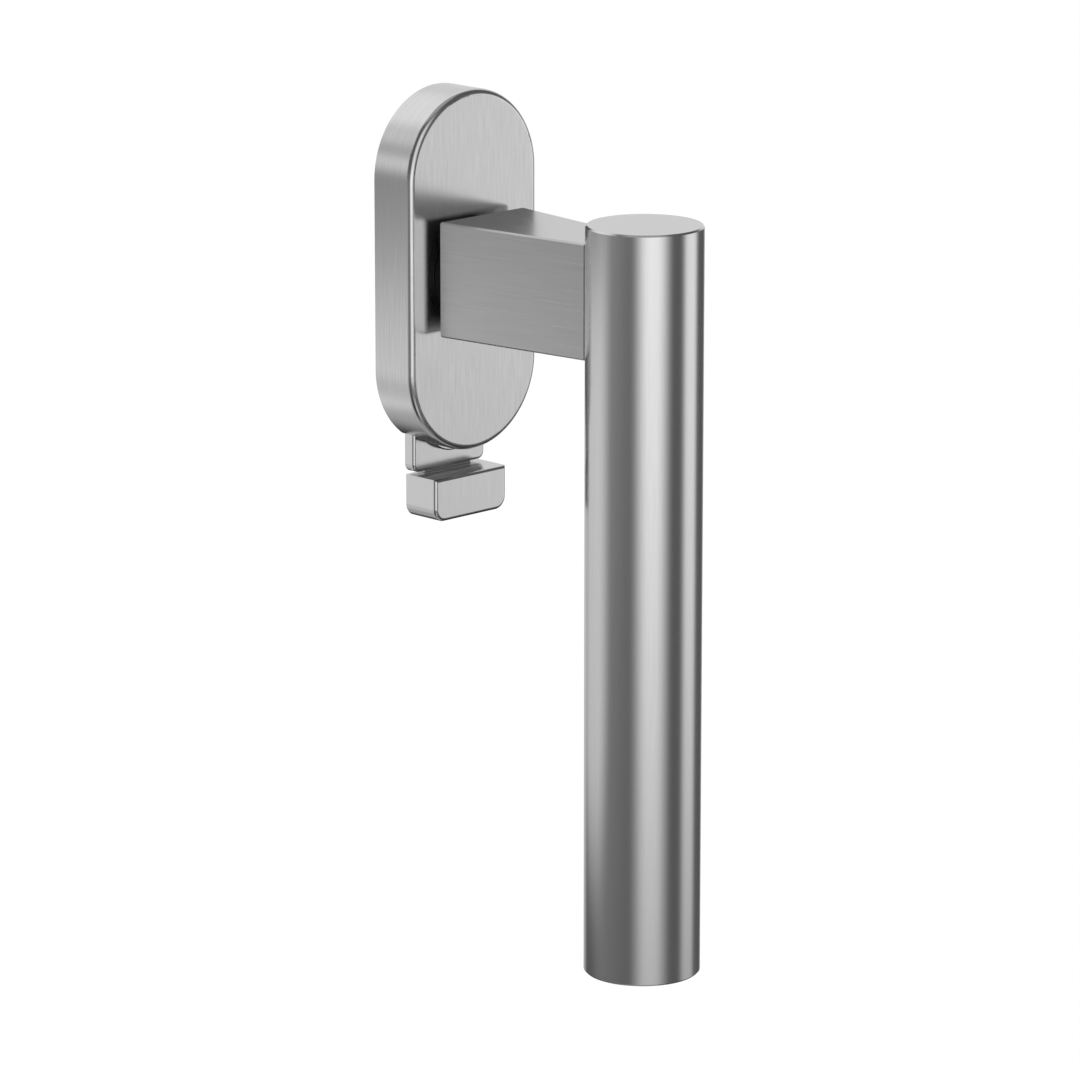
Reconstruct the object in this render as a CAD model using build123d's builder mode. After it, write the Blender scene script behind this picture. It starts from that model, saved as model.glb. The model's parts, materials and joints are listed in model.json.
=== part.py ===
from build123d import *

import os

# Tilt-and-turn window handle with a safety slide, closed position, sizes in millimetres.
# The origin is on the spindle's axis in the plane of the sash. X is to the viewer's right, Y goes into the
# sash and Z is up. A depth is measured from the sash towards the room, so depth d lies at Y = -d.

# Grip, a straight round bar
grip_diameter = 20.0
grip_length = 130.0
grip_above_axis = 13.6  # top of the bar over the spindle's axis
grip_edge = 0.3  # chamfer on the bar's end edges
projection = 60.0  # sash to the front of the grip

# Neck, a rectangular arm that tapers in plan towards the grip
neck_height = 20.0
neck_root_width = 20.0
neck_tip_width = 12.0
neck_edge = 0.3  # chamfer on the long edges and round the back
neck_tip_edge = 0.4  # chamfer on the tip's upright edges, which leaves a fine groove along the grip
neck_gap = 1.7  # neck to the escutcheon, filled by the sliding washer

# Escutcheon, a drawn oblong cover
cover_width = 30.0
cover_height = 63.0
cover_depth = 9.0
cover_wall = 1.2
cover_edge = 1.0  # round on the front edge

# Bearing of the lever
shank_diameter = 16.0  # part of the neck that passes through the cover
journal_diameter = 14.0  # part of the neck that turns in the bush
sliding_washer_band = 1.45  # width of the ring on the shank, between the neck and the cover
bush_wall = 1.5
bush_flange_width = 1.0
bush_flange_thickness = 0.9

# Spindle, square
spindle_side = 7.0
spindle_reach = 12.0  # length beyond the sash plane
spindle_grip_depth = 10.0  # length inside the neck, beyond the shank
spindle_chamfer = 0.8
spindle_groove_diameter = 6.0

# Grub screw in the underside of the neck
grub_diameter = 5.0
grub_length = 6.0
grub_from_root = 5.0  # neck's back face to the screw's axis
grub_key = 2.5  # hexagon socket, across flats
grub_key_depth = 2.5

# Retaining clip and thrust washer behind the bush
clip_diameter = 13.0
clip_thickness = 0.8
clip_band = 1.7
clip_prong_width = 2.6
clip_mouth = 4.8
washer_diameter = 18.0
washer_thickness = 0.5

# Rotor with a notch at every quarter turn
rotor_diameter = 17.0
rotor_thickness = 2.4
rotor_above_sash = 0.5
notch_width = 6.0
notch_depth = 2.2

# Detent springs, one on each side of the rotor
leaf_thickness = 0.4
leaf_height = 22.0
leaf_width = 2.0
leaf_bow = 1.6  # depth of the bow between the ends and the bump
bump_height = 1.6  # how far the bump reaches into its notch
bump_bend = 0.6  # bend radius at the bump

# Base plate, its lugs and its screws
base_front_gap = 0.4  # base plate to the inside of the cover's face
base_wall_depth = 5.0  # sash to the back of the wall that holds the bush
pocket_corner = 2.0
lug_spacing = 43.0
lug_diameter = 10.0
lug_length = 5.0  # beyond the sash plane
guide_diameter = 11.0  # boss at the root of the lower lug, on which the slide rides
screw_diameter = 5.0
screw_shank_diameter = 4.4  # plain shank between the head and the thread
screw_shank_beyond_lug = 0.5
screw_length = 16.0
screw_head_diameter = 9.2
screw_key = 3.0
screw_key_depth = 2.0
screw_sink = 0.3  # head below the base plate's front
screw_point = 0.8
countersink_angle = 90.0

# Safety slide
slide_width = 17.0
slide_thickness = 2.2
slide_above_sash = 0.35
slide_travel = 3.5
slide_drop = 4.0  # length of plate that shows below the escutcheon
slide_corner = 1.4
slide_edge = 0.5  # round on the front edges
nose_width = 4.0
collar_width = 1.45  # raised collar round the slot
collar_height = 1.2
collar_edge = 0.25
tongue_width = 11.0
tongue_length = 5.4
knob_seam = 0.4  # fine gap between the plate and the knob
knob_width = 17.0
knob_height = 7.6
knob_front_depth = 8.0  # sash to the front of the knob
knob_back_depth = 0.6  # sash to the back of the knob
knob_corner = 2.3  # lower corners
knob_edge = 0.6  # front edges
knob_screw_diameter = 3.0
knob_screw_head_diameter = 5.5
knob_screw_length = 5.0
knob_screw_slot = 0.8
knob_screw_slot_depth = 0.6

# Clearances
running_clearance = 0.05  # turning and driving fits, each side
seat_clearance = 0.1  # pieces that rest on one another, such as washer and clip
slide_clearance = 0.3  # sliding fits and covers, each side
end_play = 0.2  # slide and lug at each end of the travel

# Places worked out from the sizes above
grip_radius = grip_diameter / 2
grip_axis_depth = projection - grip_radius
grip_bottom = grip_above_axis - grip_length
neck_root_depth = cover_depth + neck_gap
neck_tip_depth = grip_axis_depth - (grip_radius**2 - (neck_tip_width / 2) ** 2) ** 0.5
cover_inner_depth = cover_depth - cover_wall
cover_bottom = -cover_height / 2

base_depth = cover_inner_depth - base_front_gap
base_width = cover_width - 2 * (cover_wall + slide_clearance)
base_height = cover_height - 2 * (cover_wall + slide_clearance)
flange_front_depth = cover_inner_depth - seat_clearance
flange_back_depth = flange_front_depth - bush_flange_thickness
bush_diameter = journal_diameter + 2 * (running_clearance + bush_wall)
flange_diameter = bush_diameter + 2 * bush_flange_width
shoulder_depth = flange_front_depth + running_clearance
sliding_washer_diameter = shank_diameter + 2 * (running_clearance + sliding_washer_band)
sliding_washer_back_depth = cover_depth + seat_clearance
sliding_washer_thickness = neck_gap - 2 * seat_clearance
journal_end_depth = base_wall_depth + 4 * seat_clearance

washer_front_depth = base_wall_depth - running_clearance
washer_back_depth = washer_front_depth - washer_thickness
clip_front_depth = washer_back_depth - running_clearance
clip_back_depth = clip_front_depth - clip_thickness
washer_bore = spindle_side * 2**0.5 + 2 * running_clearance
spindle_front_depth = neck_root_depth + spindle_grip_depth
socket_side = spindle_side + 2 * running_clearance
rotor_radius = rotor_diameter / 2
rotor_front_depth = rotor_above_sash + rotor_thickness

spring_layer_depth = rotor_front_depth + seat_clearance
leaf_waist = rotor_radius + leaf_thickness / 2 + seat_clearance
leaf_seat = leaf_waist + leaf_bow
bump_half_length = notch_width / 2 - leaf_thickness
pocket_width = 2 * (leaf_seat + leaf_thickness / 2 + seat_clearance)
pocket_height = leaf_height + 2 * (pocket_corner + seat_clearance)
washer_pocket_diameter = washer_diameter + 2 * slide_clearance

slide_front_depth = slide_above_sash + slide_thickness
slide_bottom = cover_bottom - slide_drop
tongue_thickness = slide_thickness - slide_edge
collar_front_depth = slide_front_depth + collar_height
channel_depth = slide_front_depth + slide_clearance
collar_channel_depth = collar_front_depth + slide_clearance
slot_width = guide_diameter + 2 * slide_clearance
collar_overall = slot_width + 2 * collar_width
slot_top_centre = -lug_spacing / 2 + end_play
slot_bottom_centre = -lug_spacing / 2 - slide_travel - end_play
collar_rise = slot_top_centre + slide_travel
slot_centre = (slot_top_centre + slot_bottom_centre) / 2
slot_run = slot_top_centre - slot_bottom_centre
nose_top = -(rotor_radius - notch_depth + slide_clearance + slide_travel)
knob_top = slide_bottom - knob_seam
knob_bottom = knob_top - knob_height
knob_screw_height = knob_top - tongue_length / 2
rebate_depth = slide_above_sash + tongue_thickness + seat_clearance

os.makedirs("parts", exist_ok=True)


def write(builder, name):
    builder.part.label = name
    export_step(builder.part, f"parts/{name}.step")


# Grip
with BuildPart() as grip:
    with BuildSketch(Plane.XY.offset(grip_bottom)):
        with Locations((0, -grip_axis_depth)):
            Circle(grip_radius)
    extrude(amount=grip_length)
    chamfer(grip.edges().filter_by(GeomType.CIRCLE), grip_edge)
write(grip, "grip")

# Neck: its end is a saddle that meets the round of the grip, and its shank and journal are turned on the back
with BuildPart() as neck:
    with BuildSketch(Plane.XY):
        with BuildLine():
            root_left = (-neck_root_width / 2, -neck_root_depth)
            root_right = (neck_root_width / 2, -neck_root_depth)
            tip_left = (-neck_tip_width / 2, -neck_tip_depth)
            tip_right = (neck_tip_width / 2, -neck_tip_depth)
            Polyline(tip_left, root_left, root_right, tip_right)
            ThreePointArc(tip_right, (0, grip_radius - grip_axis_depth), tip_left)
        make_face()
    extrude(amount=neck_height / 2, both=True)
    neck_back = neck.faces().sort_by(Axis.Y)[-1]
    neck_sides = neck.faces().filter_by(GeomType.PLANE).filter_by(Axis.Z)
    long_edges = [e for f in neck_sides for e in f.edges().filter_by(GeomType.LINE)]
    chamfer(ShapeList(set(long_edges + neck_back.edges())), neck_edge)
    tip_edges = neck.edges().filter_by(Axis.Z).group_by(Axis.Y)[0]
    chamfer(tip_edges, neck_tip_edge)
    with BuildSketch(Plane.XZ.offset(neck_root_depth)):
        Circle(shank_diameter / 2)
    extrude(amount=shoulder_depth - neck_root_depth)
    with BuildSketch(Plane.XZ.offset(shoulder_depth)):
        Circle(journal_diameter / 2)
    extrude(amount=journal_end_depth - shoulder_depth)
    with BuildSketch(Plane.XZ.offset(journal_end_depth)):
        Rectangle(socket_side, socket_side)
    extrude(amount=spindle_front_depth + seat_clearance - journal_end_depth, mode=Mode.SUBTRACT)
    with BuildSketch(Plane.XY.offset(-neck_height / 2)):
        with Locations((0, -neck_root_depth - grub_from_root)):
            Circle(grub_diameter / 2)
    extrude(amount=neck_height / 2, mode=Mode.SUBTRACT)
write(neck, "neck")

# Sliding washer, which keeps the neck off the cover
with BuildPart() as sliding_washer:
    with BuildSketch(Plane.XZ.offset(sliding_washer_back_depth)):
        Circle(sliding_washer_diameter / 2)
        Circle(shank_diameter / 2 + running_clearance, mode=Mode.SUBTRACT)
    extrude(amount=sliding_washer_thickness)
write(sliding_washer, "sliding_washer")

# Grub screw, its flat point on the spindle
with BuildPart() as grub_screw:
    with BuildSketch(Plane.XY.offset(-spindle_side / 2 - running_clearance)):
        with Locations((0, -neck_root_depth - grub_from_root)):
            Circle(grub_diameter / 2 - running_clearance)
    extrude(amount=-grub_length)
    grub_bottom = grub_screw.faces().sort_by(Axis.Z)[0]
    with BuildSketch(Plane(grub_bottom.center(), x_dir=(1, 0, 0), z_dir=(0, 0, 1))):
        RegularPolygon(grub_key / 2, 6, major_radius=False)
    extrude(amount=grub_key_depth, mode=Mode.SUBTRACT)
write(grub_screw, "grub_screw")

# Spindle, with a turned groove for the clip
with BuildPart() as spindle:
    with BuildSketch(Plane.XZ.offset(-spindle_reach)):
        Rectangle(spindle_side, spindle_side)
    extrude(amount=spindle_reach + spindle_front_depth)
    spindle_ends = spindle.faces().filter_by(Axis.Y)
    chamfer(spindle_ends.edges(), spindle_chamfer)
    with BuildSketch(Plane.XZ.offset(clip_back_depth - running_clearance)):
        Rectangle(spindle_side, spindle_side)
        Circle(spindle_groove_diameter / 2, mode=Mode.SUBTRACT)
    extrude(amount=clip_thickness + 2 * running_clearance, mode=Mode.SUBTRACT)
write(spindle, "spindle")

# Retaining clip: an open ring with three prongs that sit in the spindle's groove
with BuildPart() as retaining_clip:
    prong_reach = clip_diameter / 2 - clip_band / 2
    with BuildSketch(Plane.XZ.offset(clip_back_depth)):
        Circle(clip_diameter / 2)
        Circle(clip_diameter / 2 - clip_band, mode=Mode.SUBTRACT)
        with PolarLocations(prong_reach / 2, 3, start_angle=90):
            Rectangle(prong_reach, clip_prong_width)
        Circle(spindle_groove_diameter / 2 + running_clearance, mode=Mode.SUBTRACT)
        with Locations((0, -clip_diameter / 2)):
            Rectangle(clip_mouth, clip_diameter, mode=Mode.SUBTRACT)
    extrude(amount=clip_thickness)
write(retaining_clip, "retaining_clip")

# Thrust washer
with BuildPart() as thrust_washer:
    with BuildSketch(Plane.XZ.offset(washer_back_depth)):
        Circle(washer_diameter / 2)
        Circle(washer_bore / 2, mode=Mode.SUBTRACT)
    extrude(amount=washer_thickness)
write(thrust_washer, "thrust_washer")

# Rotor: the two springs lie in its side notches and the slide's nose enters the lowest one
with BuildPart() as rotor:
    with BuildSketch(Plane.XZ.offset(rotor_above_sash)):
        Circle(rotor_radius)
        with PolarLocations(rotor_radius, 4):
            Rectangle(2 * notch_depth, notch_width, mode=Mode.SUBTRACT)
        Rectangle(socket_side, socket_side, mode=Mode.SUBTRACT)
    extrude(amount=rotor_thickness)
write(rotor, "rotor")

# Bush, flanged towards the cover
with BuildPart() as bush:
    with BuildSketch(Plane.XZ.offset(base_wall_depth)):
        Circle(bush_diameter / 2)
    extrude(amount=flange_front_depth - base_wall_depth)
    with BuildSketch(Plane.XZ.offset(flange_back_depth)):
        Circle(flange_diameter / 2)
    extrude(amount=bush_flange_thickness)
    with BuildSketch(Plane.XZ.offset(base_wall_depth)):
        Circle(journal_diameter / 2 + running_clearance)
    extrude(amount=flange_front_depth - base_wall_depth, mode=Mode.SUBTRACT)
write(bush, "bush")

# Base plate: pockets and channels open to the back, lugs that stand into the sash, countersunk screw holes
with BuildPart() as base_plate:
    with BuildSketch(Plane.XZ):
        SlotOverall(base_height, base_width, rotation=90)
    extrude(amount=base_depth)
    with BuildSketch(Plane.XZ):
        RectangleRounded(pocket_width, pocket_height, pocket_corner)
        with Locations((0, -base_height / 2)):
            Rectangle(slide_width + 2 * slide_clearance, base_height)
    extrude(amount=spring_layer_depth, mode=Mode.SUBTRACT)
    with BuildSketch(Plane.XZ):
        with Locations((0, collar_rise - base_height / 2)):
            Rectangle(collar_overall + 2 * slide_clearance, base_height)
        with Locations((0, collar_rise)):
            Circle(collar_overall / 2 + slide_clearance)
    extrude(amount=collar_channel_depth, mode=Mode.SUBTRACT)
    with BuildSketch(Plane.XZ):
        Circle(washer_pocket_diameter / 2)
    extrude(amount=base_wall_depth, mode=Mode.SUBTRACT)
    with BuildSketch(Plane.XZ.offset(base_wall_depth)):
        Circle(bush_diameter / 2)
    extrude(amount=base_depth - base_wall_depth, mode=Mode.SUBTRACT)
    with BuildSketch(Plane.XZ.offset(flange_back_depth)):
        Circle(flange_diameter / 2 + running_clearance)
    extrude(amount=base_depth - flange_back_depth, mode=Mode.SUBTRACT)
    with BuildSketch(Plane.XZ.offset(collar_channel_depth)):
        with Locations((0, -lug_spacing / 2)):
            Circle(guide_diameter / 2)
    extrude(amount=-collar_channel_depth)
    with BuildSketch(Plane.XZ):
        with GridLocations(0, lug_spacing, 1, 2):
            Circle(lug_diameter / 2)
    extrude(amount=-lug_length)
    with Locations(Plane.XZ.offset(base_depth)):
        with GridLocations(0, lug_spacing, 1, 2):
            CounterSinkHole(
                screw_diameter / 2 + seat_clearance,
                screw_head_diameter / 2 + screw_sink + seat_clearance,
                counter_sink_angle=countersink_angle,
            )
write(base_plate, "base_plate")

# Mounting screws, countersunk, with hexagon sockets
with BuildPart() as mounting_screws:
    head_depth = base_depth - screw_sink
    head_height = (screw_head_diameter - screw_shank_diameter) / 2
    shank_end_depth = -lug_length - screw_shank_beyond_lug
    with BuildSketch(Plane.XZ.offset(head_depth)):
        with GridLocations(0, lug_spacing, 1, 2):
            Circle(screw_head_diameter / 2)
    extrude(amount=-head_height, taper=countersink_angle / 2)
    with BuildSketch(Plane.XZ.offset(head_depth - head_height)):
        with GridLocations(0, lug_spacing, 1, 2):
            Circle(screw_shank_diameter / 2)
    extrude(amount=shank_end_depth - head_depth + head_height)
    with BuildSketch(Plane.XZ.offset(shank_end_depth)):
        with GridLocations(0, lug_spacing, 1, 2):
            Circle(screw_diameter / 2)
    extrude(amount=head_depth - shank_end_depth - screw_length)
    screw_points = mounting_screws.faces().filter_by(Axis.Y).group_by(Axis.Y)[-1]
    chamfer(screw_points.edges(), screw_point)
    with BuildSketch(Plane.XZ.offset(head_depth)):
        with GridLocations(0, lug_spacing, 1, 2):
            RegularPolygon(screw_key / 2, 6, major_radius=False)
    extrude(amount=-screw_key_depth, mode=Mode.SUBTRACT)
write(mounting_screws, "mounting_screws")

# Detent springs: bowed leaves whose ends rest on the pocket's walls and whose bumps lie in the side notches
for side, name in ((-1, "detent_spring_left"), (1, "detent_spring_right")):
    with BuildPart() as detent_spring:
        with BuildSketch(Plane.XZ.offset(rotor_above_sash)):
            with BuildLine():
                FilletPolyline(
                    (side * leaf_seat, -leaf_height / 2),
                    (side * leaf_waist, -bump_half_length),
                    (side * (leaf_waist - bump_height), 0),
                    (side * leaf_waist, bump_half_length),
                    (side * leaf_seat, leaf_height / 2),
                    radius=bump_bend,
                )
            trace(line_width=leaf_thickness)
        extrude(amount=leaf_width)
    write(detent_spring, name)

# Escutcheon: a drawn cover with a round hole for the shank and a stepped notch for the slide
with BuildPart() as escutcheon:
    with BuildSketch(Plane.XZ):
        SlotOverall(cover_height, cover_width, rotation=90)
    extrude(amount=cover_depth)
    fillet(escutcheon.faces().sort_by(Axis.Y)[0].edges(), cover_edge)
    with BuildSketch(Plane.XZ):
        SlotOverall(cover_height - 2 * cover_wall, cover_width - 2 * cover_wall, rotation=90)
    extrude(amount=cover_inner_depth, mode=Mode.SUBTRACT)
    with BuildSketch(Plane.XZ):
        Circle(shank_diameter / 2 + slide_clearance)
    extrude(amount=cover_depth, mode=Mode.SUBTRACT)
    with BuildSketch(Plane.XZ):
        with Locations((0, cover_bottom)):
            Rectangle(slide_width + 2 * slide_clearance, cover_width)
    extrude(amount=channel_depth, mode=Mode.SUBTRACT)
    with BuildSketch(Plane.XZ):
        with Locations((0, cover_bottom)):
            Rectangle(collar_overall + 2 * slide_clearance, cover_width)
    extrude(amount=collar_channel_depth, mode=Mode.SUBTRACT)
write(escutcheon, "escutcheon")

# Slide plate: its slot rides on the guide boss, its nose locks the rotor and its tongue carries the knob
with BuildPart() as slide_plate:
    with BuildSketch(Plane.XZ.offset(slide_above_sash)) as slide_outline:
        with Locations((0, (slot_top_centre + slide_bottom) / 2)):
            Rectangle(slide_width, slot_top_centre - slide_bottom)
        fillet(slide_outline.vertices().group_by(Axis.Y)[0], slide_corner)
    extrude(amount=slide_thickness)
    slide_front = slide_plate.faces().sort_by(Axis.Y)[0]
    fillet(slide_front.edges().sort_by(Axis.Z)[:-1], slide_edge)
    with BuildSketch(Plane.XZ.offset(slide_above_sash)):
        with Locations((0, slot_top_centre)):
            Circle(slide_width / 2)
        with Locations((0, (nose_top + slot_top_centre) / 2)):
            Rectangle(nose_width, nose_top - slot_top_centre)
    extrude(amount=slide_thickness)
    with BuildSketch(Plane.XZ.offset(slide_above_sash)):
        with Locations((0, (slide_bottom + slide_corner + knob_top - tongue_length) / 2)):
            Rectangle(tongue_width, slide_bottom + slide_corner - knob_top + tongue_length)
    extrude(amount=tongue_thickness)
    with BuildSketch(Plane.XZ.offset(slide_above_sash)):
        with Locations((0, slot_centre)):
            SlotOverall(slot_run + collar_overall, collar_overall, rotation=90)
    extrude(amount=slide_thickness + collar_height)
    chamfer(slide_plate.faces().sort_by(Axis.Y)[0].edges(), collar_edge)
    with BuildSketch(Plane.XZ.offset(slide_above_sash)):
        with Locations((0, slot_centre)):
            SlotOverall(slot_run + slot_width, slot_width, rotation=90)
    extrude(amount=slide_thickness + collar_height, mode=Mode.SUBTRACT)
    with Locations(Plane.XZ.offset(slide_above_sash)):
        with Locations(Location((0, knob_screw_height, 0), (180, 0, 0))):
            CounterSinkHole(
                knob_screw_diameter / 2 + seat_clearance,
                knob_screw_head_diameter / 2 + seat_clearance,
                counter_sink_angle=countersink_angle,
            )
write(slide_plate, "slide_plate")

# Slide knob, a block with round lower corners and a rebate in its back for the plate's tongue
with BuildPart() as slide_knob:
    with BuildSketch(Plane.XZ.offset(knob_back_depth)):
        with Locations((0, (knob_top + knob_bottom) / 2)):
            Rectangle(knob_width, knob_height)
    extrude(amount=knob_front_depth - knob_back_depth)
    fillet(slide_knob.edges().filter_by(Axis.Y).group_by(Axis.Z)[0], knob_corner)
    fillet(slide_knob.faces().sort_by(Axis.Y)[0].edges(), knob_edge)
    with BuildSketch(Plane.XZ.offset(knob_back_depth)):
        with Locations((0, knob_top - tongue_length / 2)):
            Rectangle(tongue_width + 2 * seat_clearance, tongue_length + 2 * seat_clearance)
    extrude(amount=rebate_depth - knob_back_depth, mode=Mode.SUBTRACT)
    with BuildSketch(Plane.XZ.offset(rebate_depth)):
        with Locations((0, knob_screw_height)):
            Circle(knob_screw_diameter / 2 + running_clearance)
    extrude(amount=knob_screw_length, mode=Mode.SUBTRACT)
write(slide_knob, "slide_knob")

# Knob screw, countersunk and slotted
with BuildPart() as knob_screw:
    knob_head_height = (knob_screw_head_diameter - knob_screw_diameter) / 2
    with BuildSketch(Plane.XZ.offset(slide_above_sash)):
        with Locations((0, knob_screw_height)):
            Circle(knob_screw_head_diameter / 2)
    extrude(amount=knob_head_height, taper=countersink_angle / 2)
    with BuildSketch(Plane.XZ.offset(slide_above_sash + knob_head_height)):
        with Locations((0, knob_screw_height)):
            Circle(knob_screw_diameter / 2)
    extrude(amount=knob_screw_length - knob_head_height)
    with BuildSketch(Plane.XZ.offset(slide_above_sash)):
        with Locations((0, knob_screw_height)):
            Rectangle(knob_screw_head_diameter, knob_screw_slot)
    extrude(amount=knob_screw_slot_depth, mode=Mode.SUBTRACT)
write(knob_screw, "knob_screw")
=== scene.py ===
import json
import math

import bpy
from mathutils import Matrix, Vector


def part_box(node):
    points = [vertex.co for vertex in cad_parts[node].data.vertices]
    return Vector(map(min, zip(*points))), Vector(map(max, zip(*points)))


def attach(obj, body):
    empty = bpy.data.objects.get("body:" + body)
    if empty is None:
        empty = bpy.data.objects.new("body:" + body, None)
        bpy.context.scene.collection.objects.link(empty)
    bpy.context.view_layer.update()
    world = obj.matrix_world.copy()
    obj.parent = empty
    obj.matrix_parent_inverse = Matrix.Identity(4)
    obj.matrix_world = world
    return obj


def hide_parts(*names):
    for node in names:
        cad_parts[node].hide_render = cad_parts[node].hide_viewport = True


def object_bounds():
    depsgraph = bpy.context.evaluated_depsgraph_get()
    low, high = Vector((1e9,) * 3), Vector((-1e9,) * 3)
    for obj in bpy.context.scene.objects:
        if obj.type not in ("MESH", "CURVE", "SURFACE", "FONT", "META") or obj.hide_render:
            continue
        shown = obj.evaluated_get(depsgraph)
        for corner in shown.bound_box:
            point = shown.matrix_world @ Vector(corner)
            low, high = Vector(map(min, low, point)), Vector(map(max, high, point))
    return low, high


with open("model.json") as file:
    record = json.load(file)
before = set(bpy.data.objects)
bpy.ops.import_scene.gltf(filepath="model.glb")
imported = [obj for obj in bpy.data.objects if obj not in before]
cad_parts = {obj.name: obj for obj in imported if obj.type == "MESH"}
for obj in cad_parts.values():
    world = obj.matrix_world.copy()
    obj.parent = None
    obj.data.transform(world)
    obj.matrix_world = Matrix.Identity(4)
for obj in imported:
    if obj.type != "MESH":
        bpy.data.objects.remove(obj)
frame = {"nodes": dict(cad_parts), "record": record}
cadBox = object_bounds()
nodes = frame["nodes"]
mm = 0.001  # metres in a millimetre
print("frame loaded:", len(nodes), "nodes")


def pick(piece):
    bpy.ops.object.select_all(action="DESELECT")
    piece.select_set(True)
    bpy.context.view_layer.objects.active = piece


def linearColour(hexCode):
    # sRGB hex to the linear values that the shaders take
    parts = [int(hexCode[i:i + 2], 16) / 255 for i in (1, 3, 5)]
    return [c / 12.92 if c <= 0.04045 else ((c + 0.055) / 1.055) ** 2.4 for c in parts] + [1.0]


def addNode(tree, kind, links=None, values=None, **settings):
    # links: input to (node, output), values: input to a constant
    node = tree.nodes.new(kind)
    for name, setting in settings.items():
        setattr(node, name, setting)
    for name, value in (values or {}).items():
        node.inputs[name].default_value = value
    for name, (source, output) in (links or {}).items():
        tree.links.new(source.outputs[output], node.inputs[name])
    return node


def newMaterial(name, metallic):
    material = bpy.data.materials.new(name)
    material.use_nodes = True
    tree = material.node_tree
    tree.nodes.clear()
    shader = addNode(tree, "ShaderNodeBsdfPrincipled", values={"Metallic": metallic})
    addNode(tree, "ShaderNodeOutputMaterial", {"Surface": (shader, "BSDF")})
    return material, tree, shader


def scaledPlace(tree, scales):
    place = addNode(tree, "ShaderNodeTexCoord")
    return addNode(tree, "ShaderNodeMapping", {"Vector": (place, "Object")}, {"Scale": scales})


def finishFromPattern(tree, shader, pattern, look):
    # one pattern drives the colour, the roughness and the small relief of a surface
    low, high = look["spread"]
    colour = addNode(tree, "ShaderNodeValToRGB", {"Fac": (pattern, "Fac")})
    stops = ((low, look["darkHex"]), (high, look["lightHex"]))
    for element, (place, hexCode) in zip(colour.color_ramp.elements, stops):
        element.position = place
        element.color = linearColour(hexCode)
    rough = addNode(tree, "ShaderNodeMapRange", {"Value": (pattern, "Fac")},
                    {"From Min": low, "From Max": high,
                     "To Min": look["roughHigh"], "To Max": look["roughLow"]})
    bump = addNode(tree, "ShaderNodeBump", {"Height": (pattern, "Fac")},
                   {"Strength": 1.0, "Distance": look["reliefMm"] * mm})
    tree.links.new(colour.outputs["Color"], shader.inputs["Base Color"])
    tree.links.new(rough.outputs["Result"], shader.inputs["Roughness"])
    tree.links.new(bump.outputs["Normal"], shader.inputs["Normal"])


def dress(material, *nodeNames):
    for name in nodeNames:
        piece = nodes[name]
        piece.data.materials.clear()
        piece.data.materials.append(material)


# Satin stainless steel, brushed with a fine belt: neutral grey, soft mirror bands, faint straight scratches
brushedSteel = dict(
    darkHex="#d1d1d1",
    lightHex="#d8d8d8",
    spread=(0.3, 0.7),
    lineMm=0.25,  # real scratches are near 0.05 mm wide, drawn as coarse as the picture can show
    lineLengthMm=7,
    lineDetail=3.0,
    lineGrit=0.6,
    facingLimit=0.8,  # a face looks along an axis when its normal has more than this along it
    roughLow=0.2,
    roughHigh=0.24,
    reliefMm=0.0004,
)
# The round bar and the slide are brushed finer than the flat faces, so their scratches hardly show
fineBrushedSteel = dict(brushedSteel, darkHex="#d3d3d3", lightHex="#d6d6d6", roughLow=0.19, roughHigh=0.21,
                        reliefMm=0.0002)
# The neck is brushed along its length, with coarser and longer lines
neckBrushedSteel = dict(brushedSteel, darkHex="#cfcfcf", spread=(0.25, 0.75), lineMm=0.42, lineLengthMm=16,
                        roughLow=0.27, roughHigh=0.29, reliefMm=0.0002)


def makeBrushedSteel(name, look, facingAxis, onFacing, elsewhere):
    # the brushing runs one way on the faces that look along an axis, and another way on the rest;
    # onFacing and elsewhere say how X, Y and Z lie to the lines
    scale = dict(across=1 / (look["lineMm"] * mm), along=1 / (look["lineLengthMm"] * mm), through=0)
    facingScale, otherScale = ([scale[way] for way in ways] for ways in (onFacing, elsewhere))
    material, tree, shader = newMaterial(name, metallic=1.0)
    surface = addNode(tree, "ShaderNodeNewGeometry")
    split = addNode(tree, "ShaderNodeSeparateXYZ", {"Vector": (surface, "True Normal")})
    alongAxis = addNode(tree, "ShaderNodeMath", {0: (split, facingAxis)}, operation="ABSOLUTE")
    facing = addNode(tree, "ShaderNodeMath", {0: (alongAxis, 0)}, {1: look["facingLimit"]},
                     operation="GREATER_THAN")
    otherPlace = scaledPlace(tree, otherScale)
    facingPlace = scaledPlace(tree, facingScale)
    place = addNode(tree, "ShaderNodeMix", {0: (facing, 0), 4: (otherPlace, 0), 5: (facingPlace, 0)},
                    data_type="VECTOR")  # inputs 4 and 5 are its two vectors
    lines = addNode(tree, "ShaderNodeTexNoise", {"Vector": (place, 1)},
                    {"Scale": 1.0, "Detail": look["lineDetail"], "Roughness": look["lineGrit"]})
    finishFromPattern(tree, shader, lines, look)
    return material


uprightSteel = makeBrushedSteel("stainlessBrushedUpright", fineBrushedSteel, "Z",
                                ("across", "along", "through"), ("across", "across", "along"))
faceSteel = makeBrushedSteel("stainlessBrushedFace", brushedSteel, "Y",
                             ("across", "through", "along"), ("along", "across", "along"))
lengthwiseSteel = makeBrushedSteel("stainlessBrushedLengthwise", neckBrushedSteel, "Z",
                                   ("across", "along", "through"), ("through", "along", "across"))
dress(uprightSteel, "grip", "slide_plate", "slide_knob")
dress(faceSteel, "escutcheon")
dress(lengthwiseSteel, "neck")
print("stainless steel done")

# Soft clouds with fine grain, for the plated, cast, blackened, rolled and moulded pieces
cloudedFinish = dict(
    spread=(0.3, 0.7),
    cloudDetail=4.0,
    cloudGrit=0.55,
    specular=0.5,  # the shader's usual level
)


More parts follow.
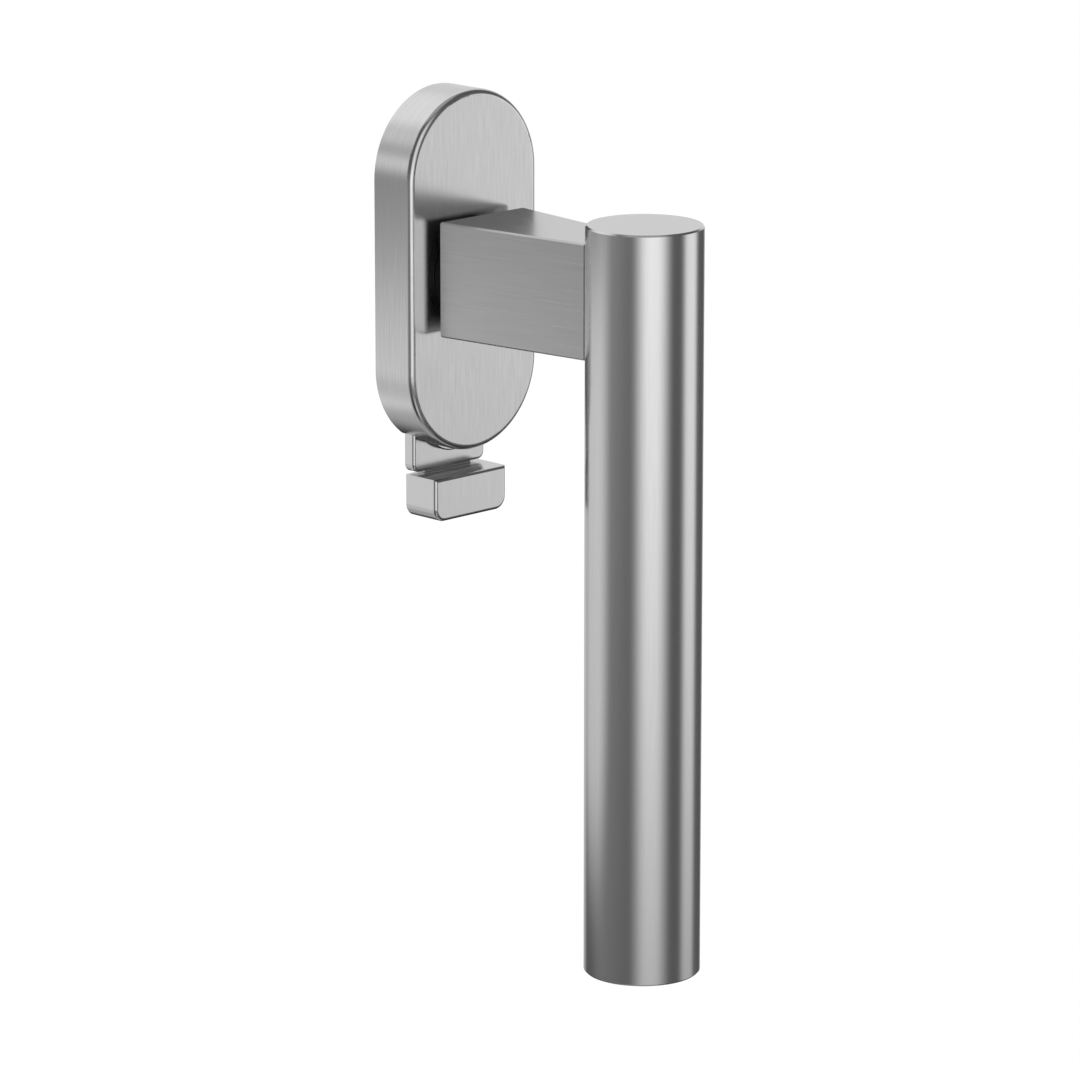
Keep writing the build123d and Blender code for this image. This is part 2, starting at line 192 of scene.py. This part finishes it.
def makeCloudedFinish(name, metallic, **ownLook):
    look = dict(cloudedFinish, **ownLook)
    material, tree, shader = newMaterial(name, metallic)
    grain = 1 / (look["grainMm"] * mm)
    clouds = addNode(tree, "ShaderNodeTexNoise", {"Vector": (scaledPlace(tree, (grain,) * 3), 0)},
                     {"Scale": 1.0, "Detail": look["cloudDetail"], "Roughness": look["cloudGrit"]})
    finishFromPattern(tree, shader, clouds, look)
    shader.inputs["Specular IOR Level"].default_value = look["specular"]
    return material


# Bright zinc plate on steel: a cool white metal with soft clouds from the plating bath
zincPlate = makeCloudedFinish(
    "zincPlatedSteel", metallic=1.0, darkHex="#bcc1c7", lightHex="#d3d7db", spread=(0.25, 0.75),
    grainMm=1.4, roughLow=0.2, roughHigh=0.36, reliefMm=0.001)
# Die cast zinc, left as cast: matt mid grey with a fine grain
castZinc = makeCloudedFinish(
    "dieCastZinc", metallic=1.0, darkHex="#a9abaf", lightHex="#bdbfc3",
    grainMm=0.45, roughLow=0.46, roughHigh=0.62, reliefMm=0.012)
# Black oxide on steel: near black, a little oily
blackOxide = makeCloudedFinish(
    "blackOxideSteel", metallic=1.0, darkHex="#232324", lightHex="#3a3a3c",
    grainMm=0.6, roughLow=0.32, roughHigh=0.46, reliefMm=0.003)
# Cold rolled spring steel: darker and smoother than the plated pieces
springSteel = makeCloudedFinish(
    "coldRolledSpringSteel", metallic=1.0, darkHex="#9ea1a6", lightHex="#b2b5b9",
    grainMm=0.8, roughLow=0.2, roughHigh=0.3, reliefMm=0.001)
# Moulded nylon: black, dull and waxy, slightly uneven
nylon = makeCloudedFinish(
    "mouldedBlackNylon", metallic=0.0, darkHex="#0b0b0c", lightHex="#131314",
    grainMm=0.9, roughLow=0.55, roughHigh=0.65, reliefMm=0.004, specular=0.12)
dress(zincPlate, "spindle", "rotor", "thrust_washer", "knob_screw")
dress(castZinc, "base_plate")
dress(blackOxide, "grub_screw")
dress(springSteel, "retaining_clip", "detent_spring_left", "detent_spring_right")
dress(nylon, "bush", "sliding_washer")
print("hidden metals and nylon done")

# Curved faces are shaded smooth, and the solids' own edges stay sharp
for piece in nodes.values():
    pick(piece)
    bpy.ops.object.shade_smooth()

# Mounting screws with a real thread, countersunk heads and hexagon sockets
screwMount = next(mount for mount in frame["record"]["mounts"] if mount["name"] == "screws")
screwLow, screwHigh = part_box("mounting_screws")
threadPitch = 0.8 * mm
screw = dict(
    spacing=screwMount["dims"]["spacing_y_mm"] * mm,
    threadRadius=screwMount["dims"]["stud_r_mm"] * mm,
    headRadius=screwHigh.x,
    headTop=screwLow.y,
    tip=screwHigh.y,
    shankRadius=2.2 * mm,
    shankEnd=5.5 * mm,
    rootRadius=2.03 * mm,
    ridgeSink=0.1 * threadPitch,  # the ridge starts this far inside the root
    ridgeCrestHalf=0.07 * threadPitch,
    ridgeFootHalf=0.46 * threadPitch,
    ridgeSides=4,
    runIn=0.5 * threadPitch,  # from the shank to the middle of the first turn
    pointRadius=1.6 * mm,
    pointLength=0.6 * mm,
    keySides=6,
    keyAcrossFlats=3.0 * mm,
    keyDepth=2.0 * mm,
    roundSteps=48,
    mergeGap=0.001 * mm,
    smoothAngle=35,  # degrees, and sharper edges stay sharp
)


def applyModifiers(piece):
    pick(piece)
    for modifier in list(piece.modifiers):
        bpy.ops.object.modifier_apply(modifier=modifier.name)


def makeScrewBody():
    s = screw
    bpy.ops.object.select_all(action="DESELECT")
    bpy.ops.mesh.primitive_circle_add(vertices=s["roundSteps"], radius=s["headRadius"], fill_type="NGON",
                                      location=(0, s["headTop"], 0), rotation=(math.pi / 2, 0, 0))
    body = bpy.context.object
    bpy.ops.object.transform_apply(location=True, rotation=True, scale=True)
    bpy.ops.object.mode_set(mode="EDIT")
    bpy.ops.mesh.select_all(action="SELECT")
    headEnd = s["headTop"] + s["headRadius"] - s["shankRadius"]  # the head's flanks meet at a right angle
    steps = (
        (headEnd, s["shankRadius"]),
        (s["shankEnd"], s["shankRadius"]),
        (s["shankEnd"], s["rootRadius"]),
        (s["tip"] - s["pointLength"], s["rootRadius"]),
        (s["tip"], s["pointRadius"]),
    )
    at, radius = s["headTop"], s["headRadius"]
    for goal, goalRadius in steps:
        bpy.ops.mesh.extrude_region_move(TRANSFORM_OT_translate={"value": (0, goal - at, 0)})
        bpy.ops.transform.resize(value=(goalRadius / radius,) * 3, center_override=(0, goal, 0))
        at, radius = goal, goalRadius
    bpy.ops.mesh.select_all(action="DESELECT")
    bpy.ops.mesh.select_non_manifold()
    bpy.ops.mesh.edge_face_add()
    bpy.ops.mesh.select_all(action="SELECT")
    bpy.ops.mesh.normals_make_consistent(inside=False)
    bpy.ops.object.mode_set(mode="OBJECT")
    return body


def makeThreadRidge():
    s = screw
    bpy.ops.object.select_all(action="DESELECT")
    bpy.ops.mesh.primitive_plane_add(size=threadPitch)
    ridge = bpy.context.object
    inner, crest = s["rootRadius"] - s["ridgeSink"], s["threadRadius"]
    start = s["shankEnd"] + s["runIn"]
    for vertex in ridge.data.vertices:  # the plane becomes the section of the ridge
        outside = vertex.co.x > 0
        half = s["ridgeCrestHalf"] if outside else s["ridgeFootHalf"]
        vertex.co = (crest if outside else inner, start + math.copysign(half, vertex.co.y), 0)
    bpy.ops.object.mode_set(mode="EDIT")
    bpy.ops.mesh.delete(type="ONLY_FACE")
    bpy.ops.object.mode_set(mode="OBJECT")
    threadLength = s["tip"] - s["pointLength"] - s["shankEnd"]
    sweep = ridge.modifiers.new("helix", "SCREW")
    sweep.axis = "Y"
    sweep.screw_offset = threadPitch
    sweep.iterations = int(threadLength / threadPitch) - 1  # whole turns, ending before the point
    sweep.steps = sweep.render_steps = s["roundSteps"]
    applyModifiers(ridge)
    bpy.ops.object.mode_set(mode="EDIT")
    bpy.ops.mesh.select_all(action="SELECT")
    bpy.ops.mesh.remove_doubles(threshold=s["mergeGap"])
    bpy.ops.mesh.fill_holes(sides=s["ridgeSides"])
    bpy.ops.mesh.select_all(action="SELECT")
    bpy.ops.mesh.normals_make_consistent(inside=False)
    bpy.ops.object.mode_set(mode="OBJECT")
    return ridge


def makeKeyCutter():
    s = screw
    bpy.ops.object.select_all(action="DESELECT")
    bpy.ops.mesh.primitive_cylinder_add(vertices=s["keySides"], radius=s["keyAcrossFlats"] / math.sqrt(3),
                                        depth=2 * s["keyDepth"], location=(0, s["headTop"], 0),
                                        rotation=(math.pi / 2, 0, 0))
    bpy.ops.object.transform_apply(location=True, rotation=True, scale=True)
    return bpy.context.object


def makeMountingScrews():
    body = makeScrewBody()
    for other, operation in ((makeThreadRidge(), "UNION"), (makeKeyCutter(), "DIFFERENCE")):
        combine = body.modifiers.new("combine", "BOOLEAN")
        combine.object = other
        combine.operation = operation
        combine.solver = "EXACT"
        applyModifiers(body)
        bpy.data.objects.remove(other)
    pick(body)
    bpy.ops.object.duplicate()
    twin = bpy.context.object
    for piece, side in ((body, 1), (twin, -1)):
        pick(piece)
        piece.location = (0, 0, side * screw["spacing"] / 2)
        bpy.ops.object.transform_apply(location=True)
    body.select_set(True)
    bpy.context.view_layer.objects.active = body
    bpy.ops.object.join()
    bpy.ops.object.shade_smooth_by_angle(angle=math.radians(screw["smoothAngle"]))
    body.name = "mounting_screws_threaded"
    body.data.materials.append(zincPlate)
    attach(body, "base")
    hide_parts("mounting_screws")


makeMountingScrews()
print("screws done")

# Camera, set to the photograph's viewing angle
view = dict(azimuth=-44.51, elevation=13.83, distance=1.0, lens=195.27, sensor=36.0,
            aim=(-4.845 * mm, -30.0 * mm, -43.188 * mm))
azimuth, elevation = math.radians(view["azimuth"]), math.radians(view["elevation"])
back = Vector((math.sin(azimuth) * math.cos(elevation), -math.cos(azimuth) * math.cos(elevation),
               math.sin(elevation)))
camera = bpy.data.objects.new("camera", bpy.data.cameras.new("camera"))
bpy.context.scene.collection.objects.link(camera)
camera.data.lens = view["lens"]
camera.data.sensor_width = view["sensor"]
camera.location = Vector(view["aim"]) + back * view["distance"]
camera.rotation_mode = "QUATERNION"
camera.rotation_quaternion = (-back).to_track_quat("-Z", "Y")
bpy.context.scene.camera = camera

# Plain pale floor, well below the handle
paleFloor = dict(side=8.0, drop=0.1, hexCode="#f4f4f4", roughness=0.9)
bpy.ops.object.select_all(action="DESELECT")
bpy.ops.mesh.primitive_plane_add(size=paleFloor["side"], location=(0, 0, cadBox[0].z - paleFloor["drop"]))
floor = bpy.context.object
floor.name = "floor"
floor.visible_glossy = False  # the metal shows the soft boxes all round, below the horizon too
floorMaterial, floorTree, floorShader = newMaterial("paleFloor", metallic=0.0)
floorShader.inputs["Base Color"].default_value = linearColour(paleFloor["hexCode"])
floorShader.inputs["Roughness"].default_value = paleFloor["roughness"]
floor.data.materials.append(floorMaterial)


def softPatch(tree, level, edges):
    # a patch of light that fades out over its edges;
    # an edge is (what is measured, where, half the fade, whether the light lies past it)
    patch = addNode(tree, "ShaderNodeValue")
    patch.outputs[0].default_value = level
    for source, edge, fade, lightPast in edges:
        before, past = (0.0, 1.0) if lightPast else (1.0, 0.0)
        side = addNode(tree, "ShaderNodeMapRange", {"Value": source},
                       {"From Min": edge - fade, "From Max": edge + fade, "To Min": before, "To Max": past},
                       interpolation_type="SMOOTHSTEP")
        patch = addNode(tree, "ShaderNodeMath", {0: (patch, 0), 1: (side, 0)}, operation="MULTIPLY")
    return patch


# Soft studio light: even white for the floor, and soft boxes with dark gaps that the metal mirrors.
# Angles are degrees as the camera's are: azimuth 0 is the room side, and elevation is above the horizon.
studio = dict(plainWhite=1.15, dim=0.03)
softBoxes = (
    # key at the left front, and its weaker upper part
    dict(azimuth=-29.5, halfWidth=25.5, sideFade=18, bottom=-17.3, top=4, endFade=5.5, level=1.22),
    dict(azimuth=-29.5, halfWidth=25.5, sideFade=18, bottom=4, top=50, endFade=5.5, level=0.85),
    # fill at the right front
    dict(azimuth=56, halfWidth=17.5, sideFade=9, bottom=-17.6, top=6, endFade=5.5, level=0.97),
    # right back: high, higher and low
    dict(azimuth=152, halfWidth=52, sideFade=9, bottom=-4, top=60, endFade=6, level=0.76),
    dict(azimuth=165, halfWidth=40, sideFade=12, bottom=34, top=64, endFade=8, level=0.25),
    dict(azimuth=141, halfWidth=25, sideFade=9, bottom=-20, top=-2, endFade=4, level=0.5),
    # left back: level, high, a small one for the neck's edge, wide and dim, and low
    dict(azimuth=-140, halfWidth=17, sideFade=12, bottom=1, top=17, endFade=8, level=0.78),
    dict(azimuth=-147, halfWidth=18, sideFade=12, bottom=22, top=38, endFade=8, level=0.7),
    dict(azimuth=-151, halfWidth=9, sideFade=9, bottom=48, top=60, endFade=5, level=0.7),
    dict(azimuth=-150, halfWidth=70, sideFade=45, bottom=-16, top=0, endFade=8, level=0.23),
    dict(azimuth=-155, halfWidth=36, sideFade=20, bottom=-62, top=-37, endFade=10, level=0.5),
    # low at the left front
    dict(azimuth=-33, halfWidth=16, sideFade=14, bottom=-56, top=-32, endFade=6, level=0.75),
    # the room, overhead and from below
    dict(azimuth=-20, halfWidth=130, sideFade=20, bottom=-40, top=75, endFade=12, level=0.09),
    dict(azimuth=0, halfWidth=180, sideFade=1, bottom=66, top=99, endFade=6, level=0.4),
    dict(azimuth=0, halfWidth=180, sideFade=1, bottom=-99, top=-64, endFade=8, level=0.38),
)
white = (1, 1, 1, 1)
world = bpy.data.worlds.new("studio")
bpy.context.scene.world = world
world.use_nodes = True
world.cycles.sampling_method = "NONE"  # the metal is lit only by what it mirrors
sky = world.node_tree
sky.nodes.clear()
direction = addNode(sky, "ShaderNodeTexCoord")
axes = addNode(sky, "ShaderNodeSeparateXYZ", {"Vector": (direction, "Generated")})
height = addNode(sky, "ShaderNodeMath", {0: (axes, "Z")}, operation="ARCSINE")
flat = addNode(sky, "ShaderNodeVectorMath", {0: (direction, "Generated")}, {1: (1, 1, 0)},
               operation="MULTIPLY")
heading = addNode(sky, "ShaderNodeVectorMath", {0: (flat, 0)}, operation="NORMALIZE")
glow = addNode(sky, "ShaderNodeValue")
glow.outputs[0].default_value = studio["dim"]
for box in softBoxes:
    turn = math.radians(box["azimuth"])
    towards = addNode(sky, "ShaderNodeVectorMath", {0: (heading, 0)},
                      {1: (math.sin(turn), -math.cos(turn), 0)}, operation="DOT_PRODUCT")
    away = addNode(sky, "ShaderNodeMath", {0: (towards, "Value")}, operation="ARCCOSINE")
    sideFade, endFade = math.radians(box["sideFade"]), math.radians(box["endFade"])
    patch = softPatch(sky, box["level"], (
        ((away, 0), math.radians(box["halfWidth"]), sideFade, False),
        ((height, 0), math.radians(box["bottom"]), endFade, True),
        ((height, 0), math.radians(box["top"]), endFade, False),
    ))
    glow = addNode(sky, "ShaderNodeMath", {0: (glow, 0), 1: (patch, 0)}, operation="ADD")
path = addNode(sky, "ShaderNodeLightPath")
boxes = addNode(sky, "ShaderNodeBackground", {"Strength": (glow, 0)}, {"Color": white})
plain = addNode(sky, "ShaderNodeBackground", values={"Color": white, "Strength": studio["plainWhite"]})
both = addNode(sky, "ShaderNodeMixShader", {0: (path, "Is Glossy Ray"), 1: (plain, 0), 2: (boxes, 0)})
addNode(sky, "ShaderNodeOutputWorld", {"Surface": (both, 0)})
bpy.context.scene.view_settings.view_transform = "Standard"

# A soft reflector card close behind the handle on the left, seen only in the metal
card = dict(
    azimuth=-155,
    distance=150 * mm,
    height=-97 * mm,
    side=600 * mm,
    left=138 * mm,
    right=-100 * mm,
    sideFade=80 * mm,
    top=66 * mm,
    bottom=-55 * mm,
    endFade=20 * mm,
    level=0.55,
)
turn = math.radians(card["azimuth"])
bpy.ops.object.select_all(action="DESELECT")
bpy.ops.mesh.primitive_plane_add(
    size=card["side"], rotation=(math.pi / 2, 0, turn),
    location=(math.sin(turn) * card["distance"], -math.cos(turn) * card["distance"], card["height"]))
cardPlane = bpy.context.object
cardPlane.name = "reflector_card"
cardPlane.visible_camera = cardPlane.visible_diffuse = cardPlane.visible_shadow = False
cardMaterial = bpy.data.materials.new("softReflector")
cardMaterial.use_nodes = True
cardTree = cardMaterial.node_tree
cardTree.nodes.clear()
cardPlace = addNode(cardTree, "ShaderNodeTexCoord")
cardAxes = addNode(cardTree, "ShaderNodeSeparateXYZ", {"Vector": (cardPlace, "Object")})
cardGlow = softPatch(cardTree, card["level"], (
    ((cardAxes, "X"), card["right"], card["sideFade"], True),
    ((cardAxes, "X"), card["left"], card["sideFade"], False),
    ((cardAxes, "Y"), card["bottom"], card["endFade"], True),
    ((cardAxes, "Y"), card["top"], card["endFade"], False),
))
cardLight = addNode(cardTree, "ShaderNodeEmission", {"Strength": (cardGlow, 0)})
cardClear = addNode(cardTree, "ShaderNodeBsdfTransparent")
cardBoth = addNode(cardTree, "ShaderNodeAddShader", {0: (cardLight, 0), 1: (cardClear, 0)})
addNode(cardTree, "ShaderNodeOutputMaterial", {"Surface": (cardBoth, 0)})
cardPlane.data.materials.append(cardMaterial)
print("camera, floor and light done")
